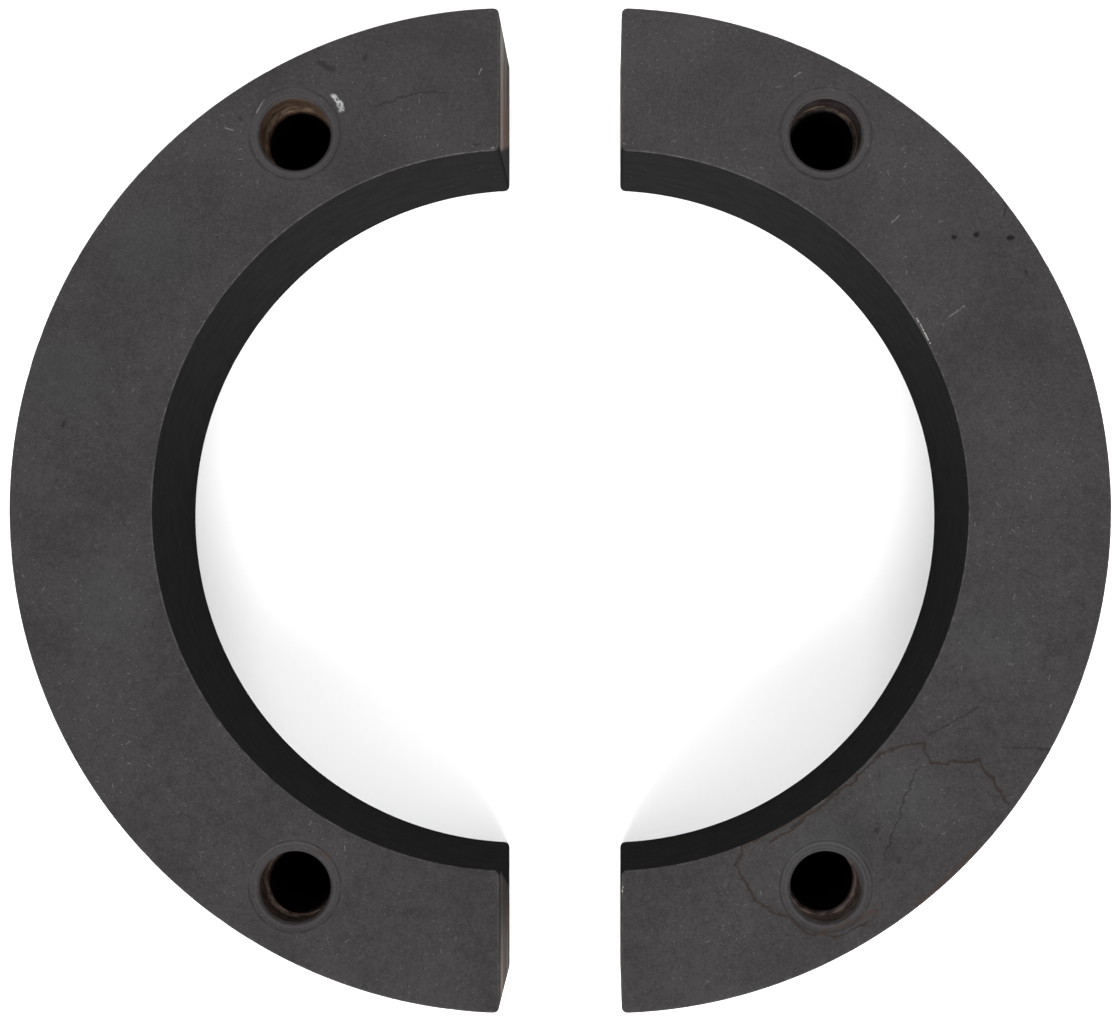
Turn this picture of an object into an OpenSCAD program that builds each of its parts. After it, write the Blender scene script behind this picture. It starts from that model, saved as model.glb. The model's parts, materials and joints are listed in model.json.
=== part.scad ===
// Two-piece split shaft collar with four axial tapped holes.
// The two halves lie flat and apart, as they do on a bench before they are fitted
// around a shaft. The origin is on the surface that they lie on, midway between them.
// X runs across the split, from the left half to the right half. Z is the shaft's direction.

/* [Ring] */
// Outside diameter, 5 1/2 in
outer_d = 139.7; // [136:0.1:160]
// Bore that seats on the shaft, 3 15/16 in
bore_d = 100.0; // [80:0.1:102]
// Width along the shaft, 1 1/8 in
width = 28.6; // [26:0.1:40]
// Break on the four circular edges
edge_break = 0.3; // [0.2:0.1:0.8]

/* [Split] */
// Width of steel that the saw cut took out between the halves
kerf = 3.6; // [1:0.1:6]
// How far the two halves stand apart from the fitted place
parting = 13.4; // [0:0.1:40]

/* [Screw holes] */
// Diameter of the circle that the four holes lie on, 4 3/4 in
pitch_circle_d = 120.7; // [118:0.1:122]
// Angle of each hole from the split plane, in degrees
hole_angle = 30; // [20:1:45]
// Tap drill for a 3/8-16 thread, 5/16 in
tap_drill_d = 7.94; // [7:0.01:8.5]
// Depth of the tap drill's full diameter
drill_depth = 22; // [18:0.1:23]
// Included angle of the drill's point, in degrees
point_angle = 118; // [90:1:135]
// Relief above the thread, 25/64 in
relief_d = 9.92; // [9.6:0.01:10.2]
// Depth of the relief
relief_depth = 6; // [2:0.1:8]
// Mouth chamfer at the face
mouth_d = 10.5; // [10.3:0.1:11]
// Shallow spot faced around the mouth, 1/2 in
spot_d = 12.6; // [12:0.1:14]
// Depth of the spot
spot_depth = 0.15; // [0.1:0.05:0.3]

/* [Hidden] */
$fn = 180;

outer_r = outer_d / 2;
bore_r = bore_d / 2;
steel_color = [0.26, 0.255, 0.26];
// A cutting tool stands this far past the face that it cuts
overcut = 1;

// Half section of the ring, with its four edges broken
module ring_section() {
    polygon([
        [bore_r, edge_break],
        [bore_r + edge_break, 0],
        [outer_r - edge_break, 0],
        [outer_r, edge_break],
        [outer_r, width - edge_break],
        [outer_r - edge_break, width],
        [bore_r + edge_break, width],
        [bore_r, width - edge_break]
    ]);
}

// Blind screw hole, as a solid to be cut away, with its mouth at z = 0 pointing up
module screw_hole() {
    point_depth = tap_drill_d / 2 / tan(point_angle / 2);
    chamfer_depth = (mouth_d - relief_d) / 2;
    translate([0, 0, -drill_depth])
        cylinder(d = tap_drill_d, h = drill_depth);
    translate([0, 0, -drill_depth - point_depth])
        cylinder(d1 = 0, d2 = tap_drill_d, h = point_depth);
    translate([0, 0, -relief_depth])
        cylinder(d = relief_d, h = relief_depth);
    translate([0, 0, -spot_depth - chamfer_depth])
        cylinder(d1 = relief_d, d2 = mouth_d, h = chamfer_depth);
    translate([0, 0, -spot_depth])
        cylinder(d = spot_d, h = spot_depth + overcut);
}

// Right half about its own bore axis, cut back from the split plane by half the kerf
module half_ring() {
    cut = outer_d + 2 * overcut;
    difference() {
        rotate_extrude() ring_section();
        translate([-cut + kerf / 2, -cut / 2, -overcut])
            cube([cut, cut, width + 2 * overcut]);
        for (side = [-1, 1])
            rotate([0, 0, side * (90 - hole_angle)])
                translate([pitch_circle_d / 2, 0, width]) screw_hole();
    }
}

module left_half() {
    color(steel_color)
        translate([-parting / 2, 0, 0])
            mirror([1, 0, 0]) half_ring();
}

module right_half() {
    color(steel_color)
        translate([parting / 2, 0, 0])
            half_ring();
}

left_half();
right_half();
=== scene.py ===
"""Split shaft collar: two black-oxide steel half rings with tapped holes, on a pale studio floor."""

import json
import math
import random

import bmesh
import bpy
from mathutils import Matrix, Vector, geometry


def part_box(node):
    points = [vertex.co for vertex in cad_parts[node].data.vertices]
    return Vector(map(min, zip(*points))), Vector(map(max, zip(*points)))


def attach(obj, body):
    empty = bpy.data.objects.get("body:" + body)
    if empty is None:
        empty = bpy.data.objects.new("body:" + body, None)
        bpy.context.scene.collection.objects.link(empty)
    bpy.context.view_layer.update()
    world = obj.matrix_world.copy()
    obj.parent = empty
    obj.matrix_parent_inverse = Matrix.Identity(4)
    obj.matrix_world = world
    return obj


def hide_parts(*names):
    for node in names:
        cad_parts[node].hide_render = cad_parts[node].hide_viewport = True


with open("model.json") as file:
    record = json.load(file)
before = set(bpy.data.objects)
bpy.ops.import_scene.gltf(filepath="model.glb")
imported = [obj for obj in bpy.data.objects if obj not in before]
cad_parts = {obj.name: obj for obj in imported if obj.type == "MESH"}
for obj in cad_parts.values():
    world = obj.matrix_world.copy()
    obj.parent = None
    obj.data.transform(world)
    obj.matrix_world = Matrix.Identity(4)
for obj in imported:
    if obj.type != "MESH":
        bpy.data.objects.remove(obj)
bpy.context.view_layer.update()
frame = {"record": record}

# ---------------------------------------------------------------- sizes, in millimetres

MM = 0.001
PER_M = 1000.0

mounts = {m["name"]: m for m in frame["record"]["mounts"]}
HALVES = {"left": -1, "right": 1}


def mount_place(name):
    return Vector(mounts[name]["pos_m"]) * PER_M


right_low, right_high = (corner * PER_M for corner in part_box("right_half"))
seat_x = mount_place("shaft_seat_right").x

# The mesh stays this far inside the design's box
CLEARANCE = 0.002

WIDTH = right_high.z
BORE_R = mounts["shaft_seat_right"]["dims"]["r_mm"]
OUTER_R = right_high.x - seat_x - CLEARANCE
HALF_KERF = right_low.x - seat_x
screw_hole_mount = mount_place("screw_hole_right_back")
HOLE_X = screw_hole_mount.x - seat_x
HOLE_Y = screw_hole_mount.y

# Edges: the radius that the front and back edges are rounded to, and that of the upright
# corners, which the design leaves sharp
FRONT_EDGE_R = 0.2
BACK_EDGE_R = 0.4
CORNER_R = 0.8
EDGE_STEPS = 4
EDGE_NICKS = 26

# Screw hole, from the face down: a shallow spot, a chamfer, a plain relief, a 3/8-16 thread and
# a drill point. The spot is shallower than the design's.
SPOT_R = 6.3
SPOT_DEPTH = 0.08
MOUTH_R = 5.25
RELIEF_R = 4.96
RELIEF_DEPTH = WIDTH - screw_hole_mount.z - mounts["screw_hole_right_back"]["dims"]["length_mm"] / 2
THREAD_MAJOR_R = 4.76
THREAD_MINOR_R = mounts["screw_hole_right_back"]["dims"]["r_mm"]
THREAD_PITCH = 25.4 / 16
THREAD_DEPTH = 20.0
DRILL_DEPTH = 22.0
DRILL_POINT = math.radians(118 / 2)

# Mesh spacing along the arcs, across a flat face and around a hole
ARC_SPACING = 0.45
FACE_SPACING = 1.8
HOLE_STEPS = 96
LINE_STEPS = 40
FILLET_STEPS = 4
WALL_ROWS = 8

SKINS = ("face", "rim", "bore", "split", "thread")

# ---------------------------------------------------------------- mesh of one half


class Shell:
    """The vertices and faces of one closed mesh, each face with the skin that covers it."""

    def __init__(self):
        self.points = []
        self.faces = []
        self.skins = []

    def add(self, points):
        first = len(self.points)
        self.points.extend(points)
        return list(range(first, len(self.points)))

    def face(self, corners, skin):
        ring = [c for i, c in enumerate(corners) if c != corners[i - 1]]
        if len(set(ring)) >= 3:
            self.faces.append(ring)
            self.skins.append(SKINS.index(skin))

    def band(self, upper, lower, skins):
        """Joins two loops of the same length. skins is one name, or one for each stretch."""
        count = len(upper)
        for i in range(count):
            j = (i + 1) % count
            skin = skins if isinstance(skins, str) else skins[i]
            self.face([upper[i], upper[j], lower[j], lower[i]], skin)


def spread(start, end, steps):
    """steps values from start up to, and without, end."""
    return [start + (end - start) * i / steps for i in range(steps)]


def quarter_outline(inset):
    """One quarter of the outline, y above 0, from the outer arc's middle to the bore arc's middle.

    Each entry is (x, y, inward x, inward y, skin of the stretch that follows)."""
    outer, bore, split = OUTER_R - inset, BORE_R + inset, HALF_KERF + inset
    fillet = CORNER_R - inset
    centre_x = split + fillet
    top_y = math.sqrt((outer - fillet) ** 2 - centre_x ** 2)
    low_y = math.sqrt((bore + fillet) ** 2 - centre_x ** 2)
    outer_end = math.atan2(top_y, centre_x)
    bore_end = math.atan2(low_y, centre_x)
    entries = []
    for a in spread(0, outer_end, round(OUTER_R * outer_end / ARC_SPACING)):
        entries.append((outer * math.cos(a), outer * math.sin(a), -math.cos(a), -math.sin(a), "rim"))
    for a in spread(outer_end, math.pi, FILLET_STEPS):
        x, y = math.cos(a), math.sin(a)
        entries.append((centre_x + fillet * x, top_y + fillet * y, -x, -y, "rim"))
    for y in spread(top_y, low_y, LINE_STEPS):
        entries.append((split, y, 1, 0, "split"))
    for a in spread(math.pi, math.pi + bore_end, FILLET_STEPS):
        x, y = math.cos(a), math.sin(a)
        entries.append((centre_x + fillet * x, low_y + fillet * y, -x, -y, "bore"))
    for a in spread(bore_end, 0, round(BORE_R * bore_end / ARC_SPACING)):
        entries.append((bore * math.cos(a), bore * math.sin(a), math.cos(a), math.sin(a), "bore"))
    entries.append((bore, 0, 1, 0, "bore"))
    return entries


def outline(inset):
    """The whole outline of a half, counter-clockwise from the right.

    Returns (points, inward directions, skins)."""
    upper = quarter_outline(inset)
    lower = [
        (x, -y, ix, -iy, upper[-i - 3][4])
        for i, (x, y, ix, iy, _) in enumerate(reversed(upper[1:-1]))
    ]
    entries = upper + lower
    points = [Vector((e[0], e[1])) for e in entries]
    inward = [Vector((e[2], e[3])) for e in entries]
    return points, inward, [e[4] for e in entries]


def nicks(points, dice, count):
    """How deep the edge is nicked at each outline point, as count dents of random size."""
    depth = [0.0] * len(points)
    for _ in range(count):
        middle = points[dice.randrange(len(points))]
        reach = dice.uniform(0.4, 1.3)
        deepest = dice.uniform(0.02, 0.09)
        for i, point in enumerate(points):
            away = (point - middle).length / reach
            if away < 1:
                depth[i] = max(depth[i], deepest * (1 - away * away) ** 2)
    return depth


def rounded_rim(shell, face_z, into, edge_r, dice):
    """The loops of a rounded edge between a flat face and the walls, from the face to the wall."""
    dents = nicks(outline(edge_r)[0], dice, EDGE_NICKS)
    loops = []
    for step in range(EDGE_STEPS + 1):
        turn = math.pi / 2 * (1 - step / EDGE_STEPS)
        points, inward, skins = outline(edge_r * (1 - math.cos(turn)))
        drop = edge_r * (1 - math.sin(turn))
        give = 0.25 + 0.75 * math.sin(2 * turn)
        loop = []
        for point, aim, dent in zip(points, inward, dents):
            moved = point + aim * dent * give
            loop.append(Vector((moved.x, moved.y, face_z + into * (drop + dent * give))))
        loops.append(shell.add(loop))
    for step, (upper, lower) in enumerate(zip(loops, loops[1:])):
        shell.band(upper, lower, "face" if step < EDGE_STEPS - 1 else skins)
    return loops[0], loops[-1]


def circle(shell, centre, radius, z):
    ring = []
    for i in range(HOLE_STEPS):
        a = 2 * math.pi * i / HOLE_STEPS
        ring.append(Vector((centre.x + radius * math.cos(a), centre.y + radius * math.sin(a), z)))
    return shell.add(ring)


def flat_face(shell, rim, z, holes):
    """Fills a flat face inside rim with even triangles, and leaves the holes open.

    holes is a list of (centre, radius, loop)."""
    margin = FACE_SPACING * 0.7
    inner = []
    rows = round((OUTER_R - BORE_R - 2 * margin) / FACE_SPACING)
    for row in range(rows + 1):
        radius = BORE_R + margin + (OUTER_R - BORE_R - 2 * margin) * row / rows
        count = round(math.pi * radius / FACE_SPACING)
        for i in range(count):
            a = math.pi * ((i + 0.5 * (row % 2)) / count - 0.5)
            point = Vector((radius * math.cos(a), radius * math.sin(a)))
            clear = point.x > HALF_KERF + margin
            clear = clear and all((point - centre).length > r + margin * 0.6 for centre, r, _ in holes)
            if clear:
                inner.append(Vector((point.x, point.y, z)))
    loops = [rim] + [loop for _, _, loop in holes]
    ids = [i for loop in loops for i in loop] + shell.add(inner)
    flat = [shell.points[i].to_2d() for i in ids]
    borders, first = [], 0
    for loop in loops:
        borders += [(first + i, first + (i + 1) % len(loop)) for i in range(len(loop))]
        first += len(loop)
    places, _, triangles, sources, _, _ = geometry.delaunay_2d_cdt(flat, borders, [], 1, 1e-7)
    for triangle in triangles:
        middle = sum((places[i] for i in triangle), Vector((0, 0))) / 3
        if all((middle - centre).length > r for centre, r, _ in holes):
            shell.face([ids[sources[i][0]] for i in triangle], "face")


def thread_radius(turn):
    """Radius of the thread's wall, turn being how far along one pitch, from 0 to 1."""
    away = abs(turn - 0.5) * THREAD_PITCH - THREAD_PITCH / 16
    flank = THREAD_MAJOR_R - away * math.tan(math.radians(60))
    return min(THREAD_MAJOR_R, max(THREAD_MINOR_R, flank))


def thread(shell, centre, top, bottom, hand):
    """The helical wall between two loops, cut as a right-hand thread once the half is in place."""
    crest = (THREAD_MAJOR_R - THREAD_MINOR_R) / math.tan(math.radians(60)) / THREAD_PITCH + 1 / 16
    stations = [0, 0.5 - crest, 0.5 - (crest + 1 / 16) / 2, 0.5 - 1 / 16]
    stations += [0.5 + 1 / 16, 0.5 + (crest + 1 / 16) / 2, 0.5 + crest]
    top_z, bottom_z = shell.points[top[0]].z, shell.points[bottom[0]].z
    turns = math.ceil((top_z - bottom_z) / THREAD_PITCH) + 1
    rows = [(turn, station) for turn in range(turns) for station in stations]
    made = {}

    def corner(column, row):
        if column == HOLE_STEPS:
            column, row = 0, row - len(stations)
        if row < 0:
            return top[0]
        turn, station = rows[row]
        z = top_z - (turn + station - column / HOLE_STEPS) * THREAD_PITCH
        if z >= top_z - 1e-6:
            return top[column]
        if z <= bottom_z + 1e-6:
            return bottom[column]
        if (column, row) not in made:
            lead_in = RELIEF_R - (top_z - z)
            run_out = min(1.0, (z - bottom_z) / THREAD_PITCH)
            radius = THREAD_MINOR_R + (thread_radius(station) - THREAD_MINOR_R) * run_out
            radius = max(radius, lead_in)
            a = 2 * math.pi * column / HOLE_STEPS
            place = Vector((centre.x + radius * math.cos(a), centre.y + hand * radius * math.sin(a), z))
            made[column, row] = shell.add([place])[0]
        return made[column, row]

    for column in range(HOLE_STEPS):
        for row in range(len(rows) - 1):
            corners = [corner(column, row), corner(column + 1, row)]
            corners += [corner(column + 1, row + 1), corner(column, row + 1)]
            shell.face(corners, "thread")


def screw_hole(shell, centre, hand):
    """One screw hole. Returns its rim on the front face."""
    steps = [
        (SPOT_R, 0, "face"),
        (SPOT_R - 0.08, SPOT_DEPTH * 0.7, "face"),
        (SPOT_R - 0.2, SPOT_DEPTH, "face"),
        (MOUTH_R, SPOT_DEPTH, "face"),
        (RELIEF_R + 0.02, SPOT_DEPTH + MOUTH_R - RELIEF_R, "face"),
        (RELIEF_R, SPOT_DEPTH + MOUTH_R - RELIEF_R + 0.05, "thread"),
        (RELIEF_R, RELIEF_DEPTH, "thread"),
    ]
    loops = []
    for radius, depth, _ in steps:
        loop = circle(shell, centre, radius, WIDTH - depth)
        loops.append(loop if hand > 0 else [loop[-i] for i in range(len(loop))])
    for upper, lower, (_, _, skin) in zip(loops, loops[1:], steps[1:]):
        shell.band(upper, lower, skin)
    drill_top = circle(shell, centre, THREAD_MINOR_R, WIDTH - THREAD_DEPTH)
    drill_end = circle(shell, centre, THREAD_MINOR_R, WIDTH - DRILL_DEPTH)
    if hand < 0:
        drill_top, drill_end = ([loop[-i] for i in range(len(loop))] for loop in (drill_top, drill_end))
    thread(shell, centre, loops[-1], drill_top, hand)
    shell.band(drill_top, drill_end, "thread")
    point_z = WIDTH - DRILL_DEPTH - THREAD_MINOR_R / math.tan(DRILL_POINT)
    point = shell.add([Vector((centre.x, centre.y, point_z))])[0]
    for i in range(HOLE_STEPS):
        shell.face([drill_end[i], drill_end[(i + 1) % HOLE_STEPS], point], "thread")
    return loops[0]


def half_ring(name, side):
    """One half as a closed mesh, in metres, in its place. side is -1 on the left and 1 on the right."""
    shell = Shell()
    dice = random.Random(name)
    holes = []
    for y in (HOLE_Y, -HOLE_Y):
        centre = Vector((HOLE_X, y))
        holes.append((centre, SPOT_R, screw_hole(shell, centre, side)))
    front_rim, front_wall = rounded_rim(shell, WIDTH, -1, FRONT_EDGE_R, dice)
    back_rim, back_wall = rounded_rim(shell, 0, 1, BACK_EDGE_R, dice)
    flat_face(shell, front_rim, WIDTH, holes)
    flat_face(shell, back_rim, 0, [])
    skins = outline(0)[2]
    above = front_wall
    for row in range(1, WALL_ROWS):
        share = row / WALL_ROWS
        level = [shell.points[a].lerp(shell.points[b], share) for a, b in zip(front_wall, back_wall)]
        below = shell.add(level)
        shell.band(above, below, skins)
        above = below
    shell.band(above, back_wall, skins)

    mesh = bpy.data.meshes.new(name)
    place = [((seat_x + p.x) * side * MM, p.y * MM, p.z * MM) for p in shell.points]
    mesh.from_pydata(place, [], shell.faces)
    mesh.polygons.foreach_set("material_index", shell.skins)
    work = bmesh.new()
    work.from_mesh(mesh)
    bmesh.ops.recalc_face_normals(work, faces=work.faces)
    work.to_mesh(mesh)
    work.free()
    mesh.shade_smooth()
    mesh.set_sharp_from_angle(angle=math.radians(32))
    piece = bpy.data.objects.new(name, mesh)
    bpy.context.scene.collection.objects.link(piece)
    flat = piece.modifiers.new("flat_faces", "WEIGHTED_NORMAL")
    flat.keep_sharp = True
    flat.weight = 80
    return piece


# ---------------------------------------------------------------- materials


class Nodes:
    """A material's node tree, with short ways to add the nodes that it uses."""

    def __init__(self, name):
        self.material = bpy.data.materials.new(name)
        self.material.use_nodes = True
        self.tree = self.material.node_tree
        self.tree.nodes.clear()
        self.output = self.tree.nodes.new("ShaderNodeOutputMaterial")
        self.shader = self.tree.nodes.new("ShaderNodeBsdfPrincipled")
        self.tree.links.new(self.shader.outputs["BSDF"], self.output.inputs["Surface"])
        place = self.tree.nodes.new("ShaderNodeTexCoord").outputs["Object"]
        self.place = self.vector("SCALE", place, scale=PER_M)

    def put(self, socket, value):
        if isinstance(value, bpy.types.NodeSocket):
            self.tree.links.new(value, socket)
        else:
            socket.default_value = value

    def math(self, operation, a, b=0.0, c=0.0, clamp=False):
        node = self.tree.nodes.new("ShaderNodeMath")
        node.operation = operation
        node.use_clamp = clamp
        for socket, value in zip(node.inputs, (a, b, c)):
            self.put(socket, value)
        return node.outputs[0]

    def vector(self, operation, a, b=(0, 0, 0), scale=None):
        node = self.tree.nodes.new("ShaderNodeVectorMath")
        node.operation = operation
        self.put(node.inputs[0], a)
        if scale is None:
            self.put(node.inputs[1], b)
        else:
            self.put(node.inputs["Scale"], scale)
        return node.outputs["Value"] if operation in ("LENGTH", "DOT_PRODUCT") else node.outputs["Vector"]

    def fade(self, value, start, end, low=0.0, high=1.0):
        """low where value is at start, high where it is at end, with a smooth change between."""
        node = self.tree.nodes.new("ShaderNodeMapRange")
        node.interpolation_type = "SMOOTHSTEP"
        for socket, number in zip(node.inputs, (value, start, end, low, high)):
            self.put(socket, number)
        return node.outputs["Result"]

    def noise(self, place, scale, detail=2.0, roughness=0.5):
        node = self.tree.nodes.new("ShaderNodeTexNoise")
        self.put(node.inputs["Vector"], place)
        self.put(node.inputs["Scale"], scale)
        self.put(node.inputs["Detail"], detail)
        self.put(node.inputs["Roughness"], roughness)
        return node.outputs

    def cells(self, place, scale):
        node = self.tree.nodes.new("ShaderNodeTexVoronoi")
        node.voronoi_dimensions = "2D"
        self.put(node.inputs["Vector"], place)
        self.put(node.inputs["Scale"], scale)
        return node.outputs

    def split(self, vector):
        node = self.tree.nodes.new("ShaderNodeSeparateXYZ")
        self.put(node.inputs[0], vector)
        return node.outputs

    def join(self, x, y, z):
        node = self.tree.nodes.new("ShaderNodeCombineXYZ")
        for socket, value in zip(node.inputs, (x, y, z)):
            self.put(socket, value)
        return node.outputs[0]

    def blend(self, share, a, b):
        node = self.tree.nodes.new("ShaderNodeMix")
        node.data_type = "RGBA"
        self.put(node.inputs[0], share)
        self.put(node.inputs[6], a)
        self.put(node.inputs[7], b)
        return node.outputs[2]

    def bump(self, height, strength, distance):
        node = self.tree.nodes.new("ShaderNodeBump")
        self.put(node.inputs["Strength"], strength)
        self.put(node.inputs["Distance"], distance)
        self.put(node.inputs["Height"], height)
        self.put(self.shader.inputs["Normal"], node.outputs["Normal"])

    def stroke(self, place, points):
        """Distance in millimetres from place to a line through points, or to one point."""
        if len(points) == 1:
            return self.vector("LENGTH", self.vector("SUBTRACT", place, (*points[0], 0)))
        nearest = None
        for start, end in zip(points, points[1:]):
            run = (end[0] - start[0], end[1] - start[1], 0)
            length2 = run[0] ** 2 + run[1] ** 2
            away = self.vector("SUBTRACT", place, (start[0], start[1], 0))
            along = self.math("DIVIDE", self.vector("DOT_PRODUCT", away, run), length2, clamp=True)
            reach = self.vector("SCALE", run, scale=along)
            distance = self.vector("LENGTH", self.vector("SUBTRACT", away, reach))
            nearest = distance if nearest is None else self.math("MINIMUM", nearest, distance)
        return nearest


def oxide(level):
    """The slightly purple black of the oxide, in linear light."""
    return (level * 1.045, level * 0.972, level * 0.995, 1)


def grey(level, warmth=0.0):
    """A colour near grey, in linear light. warmth above 0 leans to brown."""
    return (level * (1 + warmth), level, level * (1 - warmth), 1)


def own_place(nodes, side):
    """The place measured from the half's own shaft axis, x pointing away from the split."""
    x, y, z = nodes.split(nodes.place)[:3]
    own_x = nodes.math("SUBTRACT", nodes.math("MULTIPLY", x, side), seat_x)
    return own_x, y, z


def unrolled(nodes, side, radius):
    """Coordinates on a round wall laid flat: along the arc, and along the shaft."""
    x, y, z = own_place(nodes, side)
    return nodes.join(nodes.math("MULTIPLY", nodes.math("ARCTAN2", y, x), radius), z, 0)


def edge_distance(nodes, side):
    """Distance in millimetres to the nearest long edge, from any point on the surface."""
    x, y, z = own_place(nodes, side)
    radius = nodes.vector("LENGTH", nodes.join(x, y, 0))
    outer_gap = nodes.math("SUBTRACT", OUTER_R, radius)
    bore_gap = nodes.math("SUBTRACT", radius, BORE_R)
    round_gap = nodes.math("MINIMUM", outer_gap, bore_gap)
    split_gap = nodes.math("SUBTRACT", x, HALF_KERF)
    flat_gap = nodes.math("MINIMUM", nodes.math("SUBTRACT", WIDTH, z), z)
    low = nodes.math("MINIMUM", round_gap, split_gap)
    high = nodes.math("MAXIMUM", round_gap, split_gap)
    return nodes.math("MAXIMUM", low, nodes.math("MINIMUM", high, flat_gap))


def specks(nodes, place, density, share, radius):
    """1 on small round dots, 0 elsewhere. share of the cells has one."""
    cell = nodes.cells(place, density)
    chosen = nodes.math("LESS_THAN", nodes.split(cell["Color"])[0], share)
    dot = nodes.fade(cell["Distance"], radius * density, radius * density * 0.4)
    return nodes.math("MULTIPLY", chosen, dot)


def dashes(nodes, place, density, share, length, width):
    """1 on short straight scratches that lie at all angles, 0 elsewhere."""
    cell = nodes.cells(place, density)
    red, green, blue = nodes.split(cell["Color"])[:3]
    chosen = nodes.math("LESS_THAN", red, share)
    turn = nodes.math("MULTIPLY", green, math.tau)
    away = nodes.vector("SUBTRACT", place, cell["Position"])
    cosine, sine = nodes.math("COSINE", turn), nodes.math("SINE", turn)
    along = nodes.math("ABSOLUTE", nodes.vector("DOT_PRODUCT", away, nodes.join(cosine, sine, 0)))
    minus_sine = nodes.math("MULTIPLY", sine, -1)
    across = nodes.math("ABSOLUTE", nodes.vector("DOT_PRODUCT", away, nodes.join(minus_sine, cosine, 0)))
    reach = nodes.math("MULTIPLY", nodes.math("ADD", blue, 0.3), length)
    ends = nodes.fade(nodes.math("SUBTRACT", along, reach), 0, -0.1)
    thin = nodes.fade(across, width, width * 0.3)
    return nodes.math("MULTIPLY", chosen, nodes.math("MULTIPLY", ends, thin))


# The marks on the front face. Each kind has a colour, how far it covers, its half width, how
# much it wanders and how broken it is. Places are in millimetres on the face.
MARK_KINDS = {
    "bloom": ((0.027, 0.028, 0.027, 1), 0.2, 8.0, 4.0, 0.3),
    "smudge": ((0.005, 0.005, 0.005, 1), 0.7, 0.55, 0.9, 0.45),
    "tide": ((0.0095, 0.0057, 0.004, 1), 0.75, 0.3, 1.0, 0.15),
    "rust": ((0.02, 0.012, 0.0085, 1), 0.6, 0.5, 0.6, 0.5),
    "hairline": ((0.006, 0.0055, 0.005, 1), 0.65, 0.2, 0.9, 0.4),
    "pit": ((0.002, 0.0014, 0.001, 1), 1.0, 0.55, 0.5, 0.0),
    "streak": ((0.08, 0.078, 0.076, 1), 0.75, 0.13, 0.3, 0.5),
    "scuff": ((0.2, 0.2, 0.2, 1), 0.9, 0.5, 0.8, 0.52),
    "chip": ((0.2, 0.19, 0.18, 1), 0.9, 0.13, 0.25, 0.55),
}

MARKS = {
    "left": {
        "bloom": [[(-69.3, 19)], [(-62.3, -13)], [(-57, 37)]],
        "smudge": [
            [(-33.5, 62.2), (-31.5, 61.2)], [(-33.7, 64.2)], [(-27, 63)], [(-44.5, 54.5)],
            [(-69, 12)],
        ],
        "hairline": [
            [(-25.5, 56.2), (-22, 57.4), (-19.5, 58.1), (-16, 57.9)],
            [(-12.3, 50.6), (-11.3, 50.8)],
        ],
        "streak": [
            [(-42.2, 55.3), (-41.1, 57)], [(-46.5, 53), (-45.5, 52.8)], [(-43.5, 45.5)],
            [(-11.3, 60.6), (-10.9, 61.4)], [(-24.4, 52.1)],
        ],
        "scuff": [[(-31.4, 57.5), (-30.8, 56.7), (-30.3, 55.8)]],
        "chip": [[(-9.6, 50.3), (-9.2, 50.4)], [(-32.2, -51)]],
        "rust": [[(-33.5, -47.5), (-31.8, -48.3)]],
    },
    "right": {
        "bloom": [[(36, -47)], [(48, -40)], [(60, -18)]],
        "smudge": [[(44.1, -44.4)], [(46.9, -48.8)], [(64.5, 33)]],
        "tide": [
            [(25.5, -46.2), (24.3, -49.2), (26.5, -53), (28, -55), (31.5, -56.6),
             (34.2, -58.6), (39, -59.2), (42.7, -57)],
            [(29, -46), (33, -43.5), (40, -38), (44.5, -33.6), (50.5, -32), (51.5, -35),
             (58, -34.7), (62.2, -40.6)],
        ],
        "rust": [
            [(25.5, -46.5), (35, -41.7)], [(36, -58.8), (44, -55.5)],
            [(49.5, -54.8), (58.3, -46.5)],
        ],
        "hairline": [
            [(50.8, -31.4), (58, -27.4)], [(61.5, -33), (68, -33)],
            [(49.7, -35.7), (47.5, -40.5), (45.2, -48.3)], [(62, 44.5), (61.8, 41)],
            [(61.3, 39.4)], [(64.8, 25)],
        ],
        "pit": [[(62.3, 37.8), (62.7, 38)], [(57.8, 38.4)], [(54.7, 37.9)]],
        "streak": [
            [(53.7, 26.7), (56.1, 28.3)], [(46, 40), (47.2, 41)], [(12.8, -58.2)],
            [(70.7, 26.7)], [(32.4, 60.2), (33.4, 60.9)], [(52.2, 21.8)],
        ],
        "chip": [
            [(8.8, 50.9)], [(20.3, 48.9)], [(49.5, 26.7), (51.4, 23.2)],
            [(8.7, -52.2), (8.7, -52.9)],
        ],
    },
}


def marked(nodes, name, colour):
    """Lays the half's own marks over colour."""
    flat = nodes.vector("MULTIPLY", nodes.place, (1, 1, 0))
    on_front = nodes.math("GREATER_THAN", nodes.split(nodes.place)[2], WIDTH / 2)
    sway = nodes.vector("SUBTRACT", nodes.noise(flat, 0.5, 3, 0.6)["Color"], (0.5, 0.5, 0.5))
    sway = nodes.vector("MULTIPLY", sway, (1, 1, 0))
    gaps = nodes.noise(flat, 2.2, 3, 0.7)["Fac"]
    for kind, (ink, cover, half_width, wander, broken) in MARK_KINDS.items():
        place = nodes.vector("ADD", flat, nodes.vector("SCALE", sway, scale=wander * 2))
        nearest = None
        for points in MARKS[name].get(kind, []):
            distance = nodes.stroke(place, points)
            nearest = distance if nearest is None else nodes.math("MINIMUM", nearest, distance)
        if nearest is not None:
            share = nodes.fade(nearest, half_width, half_width * 0.25, 0, cover)
            left_over = nodes.fade(gaps, broken * 0.75, broken * 0.75 + 0.12)
            share = nodes.math("MULTIPLY", share, left_over)
            colour = nodes.blend(nodes.math("MULTIPLY", share, on_front), colour, ink)
    return colour


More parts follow.
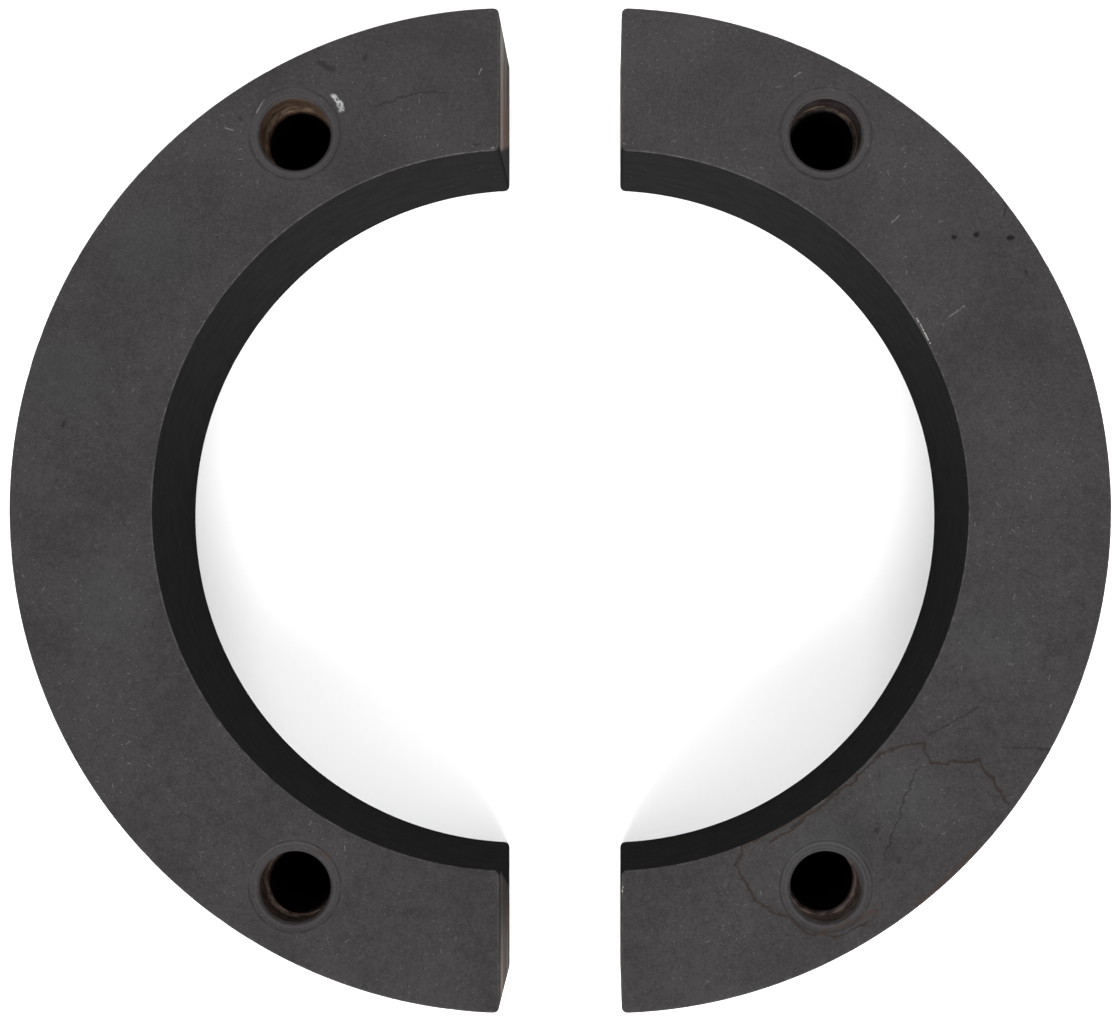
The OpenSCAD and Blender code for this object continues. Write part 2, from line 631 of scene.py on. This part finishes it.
# How light each half's oxide is, and the oxide's darkest, lightest and freshly faced level
FACE_TONE = {"left": 0.89, "right": 0.95}
FACE_DARK = 0.0128
FACE_LIGHT = 0.0232
FACE_SPOT = 0.0235
DULL_SPECK = grey(0.007)
BRIGHT_SPECK = grey(0.07, 0.01)
RING_SHADE = grey(0.0095, 0.03)
# Lighter edges: partly wear, partly a painted highlight along the rounded edges
WORN_EDGE_AND_HIGHLIGHT = grey(0.042, 0.03)

# How strongly the flat, turned and split faces mirror the room
FACE_SHINE = 0.08
RIM_SHINE = 0.15
NO_SHINE = 0.0

# Radius of the dark ring around each screw hole, just outside the faced spot
RING_R = SPOT_R + 0.1


def face_skin(name, side):
    """Satin black oxide on the flat faces, with its specks, fine scratches, worn edges lightened partly
    as a painted highlight, and marks.
    """
    nodes = Nodes(name + "_face_oxide")
    place = nodes.place
    tone = FACE_TONE[name]
    cloud = nodes.noise(place, 0.07, 3)["Fac"]
    mottle = nodes.noise(place, 0.6, 3, 0.6)["Fac"]
    grain = nodes.noise(place, 3.2, 3, 0.75)["Fac"]
    mixed = nodes.math("MULTIPLY_ADD", cloud, 0.3, nodes.math("MULTIPLY", mottle, 0.15))
    mixed = nodes.math("MULTIPLY_ADD", grain, 0.55, mixed)
    dark, light = oxide(FACE_DARK * tone), oxide(FACE_LIGHT * tone)
    colour = nodes.blend(nodes.fade(mixed, 0.38, 0.62), dark, light)

    busy = nodes.fade(nodes.noise(place, 0.07, 2)["Fac"], 0.42, 0.62, 0.25, 1.0)
    dull = specks(nodes, place, 0.5, 0.25, 0.22)
    colour = nodes.blend(nodes.math("MULTIPLY", dull, 0.35), colour, DULL_SPECK)
    bright = specks(nodes, place, 0.9, 0.24, 0.13)
    bright = nodes.math("MULTIPLY", bright, nodes.math("MULTIPLY", busy, 0.5))
    colour = nodes.blend(bright, colour, BRIGHT_SPECK)
    scratch = dashes(nodes, place, 0.4, 0.3, 0.35, 0.085)
    scratch = nodes.math("MULTIPLY", scratch, nodes.math("MULTIPLY", busy, 0.6))
    colour = nodes.blend(scratch, colour, BRIGHT_SPECK)

    x, y, _ = own_place(nodes, side)
    off_x = nodes.math("SUBTRACT", x, HOLE_X)
    off_y = nodes.math("SUBTRACT", nodes.math("ABSOLUTE", y), HOLE_Y)
    around = nodes.vector("LENGTH", nodes.join(off_x, off_y, 0))
    ring_x = nodes.math("MULTIPLY", around, 3.5)
    ring_y = nodes.math("MULTIPLY", y, 0.04)
    tool_rings = nodes.noise(nodes.join(ring_x, ring_y, 0), 1.0, 2)["Fac"]
    near_hole = nodes.fade(around, RING_R + 1.0, RING_R - 0.6)
    faced = nodes.math("MULTIPLY", near_hole, nodes.fade(tool_rings, 0.4, 0.65))
    colour = nodes.blend(faced, colour, oxide(FACE_SPOT * tone))
    ring = nodes.fade(nodes.math("ABSOLUTE", nodes.math("SUBTRACT", around, RING_R)), 0.28, 0.05)
    patches = nodes.fade(nodes.noise(place, 0.5, 2)["Fac"], 0.36, 0.56, 0.15, 0.75)
    ring = nodes.math("MULTIPLY", ring, patches)
    colour = nodes.blend(ring, colour, RING_SHADE)

    # The long edges are lightened in patches: partly wear, partly a painted highlight where the rounded
    # edges catch the light
    gap = edge_distance(nodes, side)
    wear_and_highlight = nodes.fade(gap, 0.3, 0.05)
    patches = nodes.fade(nodes.noise(place, 0.7, 4, 0.7)["Fac"], 0.4, 0.7, 0.12, 1.0)
    wear_and_highlight = nodes.math("MULTIPLY", wear_and_highlight, patches)
    colour = nodes.blend(wear_and_highlight, colour, WORN_EDGE_AND_HIGHLIGHT)
    colour = marked(nodes, name, colour)

    nodes.put(nodes.shader.inputs["Base Color"], colour)
    nodes.put(nodes.shader.inputs["Roughness"], nodes.fade(mottle, 0.3, 0.7, 0.45, 0.58))
    nodes.put(nodes.shader.inputs["Specular IOR Level"], FACE_SHINE)
    height = nodes.math("MULTIPLY_ADD", mottle, 0.6, grain)
    height = nodes.math("SUBTRACT", height, nodes.math("MULTIPLY", dull, 0.8))
    nodes.bump(height, 0.3, 0.00004)
    return nodes.material


RIM_DARK = grey(0.011, 0.01)
RIM_LIGHT = grey(0.017, 0.02)
BORE_DARK = grey(0.0092)
BORE_LIGHT = grey(0.0116, 0.01)
WALL_SPECK = grey(0.033, 0.02)


def turned_skin(name, side, part, radius, dark, light, shine):
    """Oxide on a turned round wall: fine rings left by the tool, specks and a few scratches."""
    nodes = Nodes(name + "_" + part + "_oxide")
    flat = unrolled(nodes, side, radius)
    rings = nodes.noise(nodes.vector("MULTIPLY", flat, (0.05, 9, 0)), 1.0, 3, 0.7)["Fac"]
    mottle = nodes.noise(nodes.vector("MULTIPLY", flat, (0.25, 0.5, 0)), 1.0, 4, 0.6)["Fac"]
    mixed = nodes.math("MULTIPLY_ADD", rings, 0.2, nodes.math("MULTIPLY", mottle, 0.8))
    colour = nodes.blend(nodes.fade(mixed, 0.35, 0.65), dark, light)
    bright = specks(nodes, flat, 0.4, 0.16, 0.12)
    scratch = dashes(nodes, flat, 0.15, 0.3, 1.6, 0.08)
    bright = nodes.math("MAXIMUM", bright, nodes.math("MULTIPLY", scratch, 0.5))
    colour = nodes.blend(bright, colour, WALL_SPECK)
    nodes.put(nodes.shader.inputs["Base Color"], colour)
    nodes.put(nodes.shader.inputs["Roughness"], nodes.fade(mottle, 0.3, 0.7, 0.48, 0.62))
    nodes.put(nodes.shader.inputs["Specular IOR Level"], shine)
    nodes.bump(rings, 0.35, 0.00002)
    return nodes.material


def rim_skin(name, side):
    return turned_skin(name, side, "rim", OUTER_R, RIM_DARK, RIM_LIGHT, RIM_SHINE)


def bore_skin(name, side):
    return turned_skin(name, side, "bore", BORE_R, BORE_DARK, BORE_LIGHT, NO_SHINE)


# On the parted faces the oxide stays beside the bore, in a wedge that is this wide at the back
OXIDE_WEDGE = 7.0
CUT_DARK = grey(0.05, 0.05)
CUT_LIGHT = grey(0.14, 0.05)
CUT_BROWN = (0.105, 0.066, 0.052, 1)
FRONT_BAND = grey(0.2, 0.06)
# Painted shade for the end of the parted face where y is below 0, near the bore
CUT_PAINTED_SHADE_NEAR_BORE = grey(0.02, 0.03)
# Painted shade along the back edge of the parted faces, where they meet the floor
BACK_EDGE_PAINTED_SHADE = grey(0.012, 0.05)
# Painted shade along the front edge of the parted faces, next to the rounded edge
FRONT_EDGE_PAINTED_SHADE = grey(0.02, 0.1)


def split_skin(name, side):
    """Cut steel with a brown bloom and saw marks where the ring was parted, and oxide beside the bore."""
    nodes = Nodes(name + "_split_steel")
    place = nodes.place
    _, y, z = own_place(nodes, side)
    lines = nodes.noise(nodes.vector("MULTIPLY", place, (0, 0.04, 0.55)), 1.0, 4, 0.7)["Fac"]
    fine = nodes.noise(nodes.vector("MULTIPLY", place, (0, 0.3, 9)), 1.0, 2)["Fac"]
    bloom = nodes.noise(nodes.vector("MULTIPLY", place, (0, 0.08, 0.2)), 1.0, 3)["Fac"]
    colour = nodes.blend(nodes.fade(lines, 0.38, 0.62), CUT_DARK, CUT_LIGHT)
    colour = nodes.blend(nodes.fade(bloom, 0.42, 0.6, 0, 0.75), colour, CUT_BROWN)
    from_band = nodes.math("ABSOLUTE", nodes.math("SUBTRACT", z, WIDTH - 7))
    colour = nodes.blend(nodes.fade(from_band, 5.0, 2.0, 0, 0.35), colour, FRONT_BAND)
    # Painted shade: the end where y is below 0 is darkened towards the bore
    front_end = nodes.math("LESS_THAN", y, 0)
    near_bore_painted_shade = nodes.math("MULTIPLY", front_end, nodes.fade(y, -67, -55, 0.1, 0.8))
    colour = nodes.blend(near_bore_painted_shade, colour, CUT_PAINTED_SHADE_NEAR_BORE)
    wedge_end = nodes.math("MULTIPLY_ADD", z, -OXIDE_WEDGE / WIDTH, BORE_R + OXIDE_WEDGE)
    beyond = nodes.math("SUBTRACT", nodes.math("ABSOLUTE", y), wedge_end)
    ragged = nodes.math("MULTIPLY_ADD", fine, 0.6, beyond)
    # Painted shade: the oxide wedge is darker at the end where y is below 0 and lighter at the other end
    wedge_oxide_painted_shade = nodes.fade(y, -BORE_R, BORE_R, 0.01, 0.03)
    colour = nodes.blend(nodes.fade(ragged, 0.6, -0.2), colour, wedge_oxide_painted_shade)
    # Painted shade: the parted face darkens towards its back edge
    colour = nodes.blend(nodes.fade(z, 4.5, 1.0, 0, 0.85), colour, BACK_EDGE_PAINTED_SHADE)
    # Painted shade: a dark band on the parted face within a few millimetres of the front face
    front_edge_shade_share = nodes.fade(z, WIDTH - 4.2, WIDTH - 2.2, 0, 0.8)
    colour = nodes.blend(front_edge_shade_share, colour, FRONT_EDGE_PAINTED_SHADE)
    nodes.put(nodes.shader.inputs["Base Color"], colour)
    nodes.put(nodes.shader.inputs["Roughness"], nodes.fade(fine, 0.3, 0.7, 0.6, 0.75))
    nodes.put(nodes.shader.inputs["Specular IOR Level"], NO_SHINE)
    nodes.bump(nodes.math("MULTIPLY_ADD", lines, 2.0, fine), 0.4, 0.00003)
    return nodes.material


# The steel in the two tapped holes of each half: (back hole, front hole)
HOLE_STEEL = {
    "left": ((0.24, 0.155, 0.105, 1), (0.16, 0.115, 0.105, 1)),
    "right": ((0.11, 0.092, 0.092, 1), (0.32, 0.25, 0.245, 1)),
}
GRIME = (0.03, 0.02, 0.018, 1)
GLINT = (0.5, 0.38, 0.27, 1)
# Painted shade: the near black put deep in the holes
DEEP_HOLE_PAINTED_SHADE = (0.0006, 0.0006, 0.0006, 1)

# Depths below the face: where the glint lies, where the painted shade of the deep hole begins and where
# it is full
GLINT_DEPTH = 5.2
PAINTED_SHADE_START_DEPTH = 5.5
PAINTED_SHADE_FULL_DEPTH = 6.7


def thread_skin(name, side):
    """Bare steel near the mouth of the tapped holes, painted black further down as the shade deep in the
    holes.
    """
    nodes = Nodes(name + "_thread_steel")
    place = nodes.place
    _, y, z = nodes.split(place)[:3]
    rings = nodes.noise(nodes.vector("MULTIPLY", place, (0.08, 0.08, 3.0)), 1.0, 3, 0.6)["Fac"]
    mottle = nodes.noise(place, 0.9, 2)["Fac"]
    back_steel, front_steel = HOLE_STEEL[name]
    steel = nodes.blend(nodes.math("GREATER_THAN", y, 0), front_steel, back_steel)
    dirt = nodes.math("MULTIPLY_ADD", rings, 0.6, nodes.math("MULTIPLY", mottle, 0.4))
    steel = nodes.blend(nodes.fade(dirt, 0.4, 0.6, 0.85, 0.2), steel, GRIME)
    depth = nodes.math("SUBTRACT", WIDTH, z)
    glint = nodes.fade(nodes.math("ABSOLUTE", nodes.math("SUBTRACT", depth, GLINT_DEPTH)), 1.1, 0.3)
    glint = nodes.math("MULTIPLY", glint, nodes.fade(mottle, 0.42, 0.6, 0.1, 0.75))
    steel = nodes.blend(glint, steel, GLINT)
    # Painted shade: below these depths the steel turns black and loses its metallic shine, as the deep
    # hole lies in shade
    steel = nodes.blend(nodes.fade(depth, PAINTED_SHADE_START_DEPTH, PAINTED_SHADE_FULL_DEPTH), steel, DEEP_HOLE_PAINTED_SHADE)
    nodes.put(nodes.shader.inputs["Base Color"], steel)
    nodes.put(nodes.shader.inputs["Metallic"], nodes.fade(depth, PAINTED_SHADE_START_DEPTH, PAINTED_SHADE_FULL_DEPTH, 0.85, 0.0))
    nodes.put(nodes.shader.inputs["Roughness"], 0.38)
    nodes.put(nodes.shader.inputs["Specular IOR Level"], NO_SHINE)
    nodes.bump(rings, 0.5, 0.00008)
    return nodes.material


MAKERS = {
    "face": face_skin,
    "rim": rim_skin,
    "bore": bore_skin,
    "split": split_skin,
    "thread": thread_skin,
}

# ---------------------------------------------------------------- camera, floor and light

# The camera looks straight down. Its own axis meets the front face a little right of and in
# front of the origin, and the picture is shifted back onto the collar.
CAMERA_HEIGHT = 266.3
CAMERA_X = 6.6
CAMERA_Y = -8.8
VIEW_WIDTH = 155.05
FRAME_X = -0.25
FRAME_Y = -0.13
SENSOR = 36.0

lens = bpy.data.cameras.new("camera")
lens.sensor_width = SENSOR
lens.lens = SENSOR * CAMERA_HEIGHT / VIEW_WIDTH
lens.shift_x = (FRAME_X - CAMERA_X) / VIEW_WIDTH
lens.shift_y = (FRAME_Y - CAMERA_Y) / VIEW_WIDTH
lens.clip_start = 0.01
camera = bpy.data.objects.new("camera", lens)
camera.location = (CAMERA_X * MM, CAMERA_Y * MM, (WIDTH + CAMERA_HEIGHT) * MM)
bpy.context.scene.collection.objects.link(camera)
bpy.context.scene.camera = camera
bpy.context.scene.view_settings.view_transform = "Standard"


# How far the floor runs from the origin, in metres, and how bright the surroundings are
FLOOR_REACH = 2.5
WORLD_STRENGTH = 0.63


def make_floor():
    mesh = bpy.data.meshes.new("floor")
    near, far = -FLOOR_REACH, FLOOR_REACH
    corners = [(near, near, 0), (far, near, 0), (far, far, 0), (near, far, 0)]
    mesh.from_pydata(corners, [], [(0, 1, 2, 3)])
    floor = bpy.data.objects.new("floor", mesh)
    bpy.context.scene.collection.objects.link(floor)
    nodes = Nodes("floor_paper")
    paper = nodes.noise(nodes.place, 0.02, 2)["Fac"]
    nodes.put(nodes.shader.inputs["Base Color"], nodes.blend(paper, grey(0.86), grey(0.88)))
    nodes.put(nodes.shader.inputs["Roughness"], 0.9)
    nodes.put(nodes.shader.inputs["Specular IOR Level"], 0.1)
    floor.data.materials.append(nodes.material)


def softbox(name, place, aim, size, power):
    light = bpy.data.lights.new(name, "AREA")
    light.shape = "RECTANGLE"
    light.size, light.size_y = size
    light.energy = power
    box = bpy.data.objects.new(name, light)
    box.location = place
    box.rotation_mode = "QUATERNION"
    box.rotation_quaternion = (Vector(aim) - Vector(place)).to_track_quat("-Z", "Y")
    bpy.context.scene.collection.objects.link(box)


def make_light():
    world = bpy.data.worlds.new("studio")
    world.use_nodes = True
    world.node_tree.nodes["Background"].inputs["Color"].default_value = (1, 1, 1, 1)
    world.node_tree.nodes["Background"].inputs["Strength"].default_value = WORLD_STRENGTH
    bpy.context.scene.world = world
    middle = (0, 0, 0)
    softbox("front_box", (0, -2.9, 2.1), middle, (3.2, 1.9), 300)
    softbox("right_box", (1.9, 0.2, 1.5), middle, (1.2, 1.6), 28)
    softbox("left_box", (-1.9, 0.2, 1.5), middle, (1.2, 1.6), 22)
    softbox("top_box", (0, 0.85, 1.8), middle, (1.4, 0.7), 23)


make_floor()
make_light()

# ---------------------------------------------------------------- the two halves

for half_name, half_side in HALVES.items():
    piece = half_ring(half_name + "_half_ring", half_side)
    for skin_name in SKINS:
        piece.data.materials.append(MAKERS[skin_name](half_name, half_side))
    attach(piece, half_name)
    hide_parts(half_name + "_half")
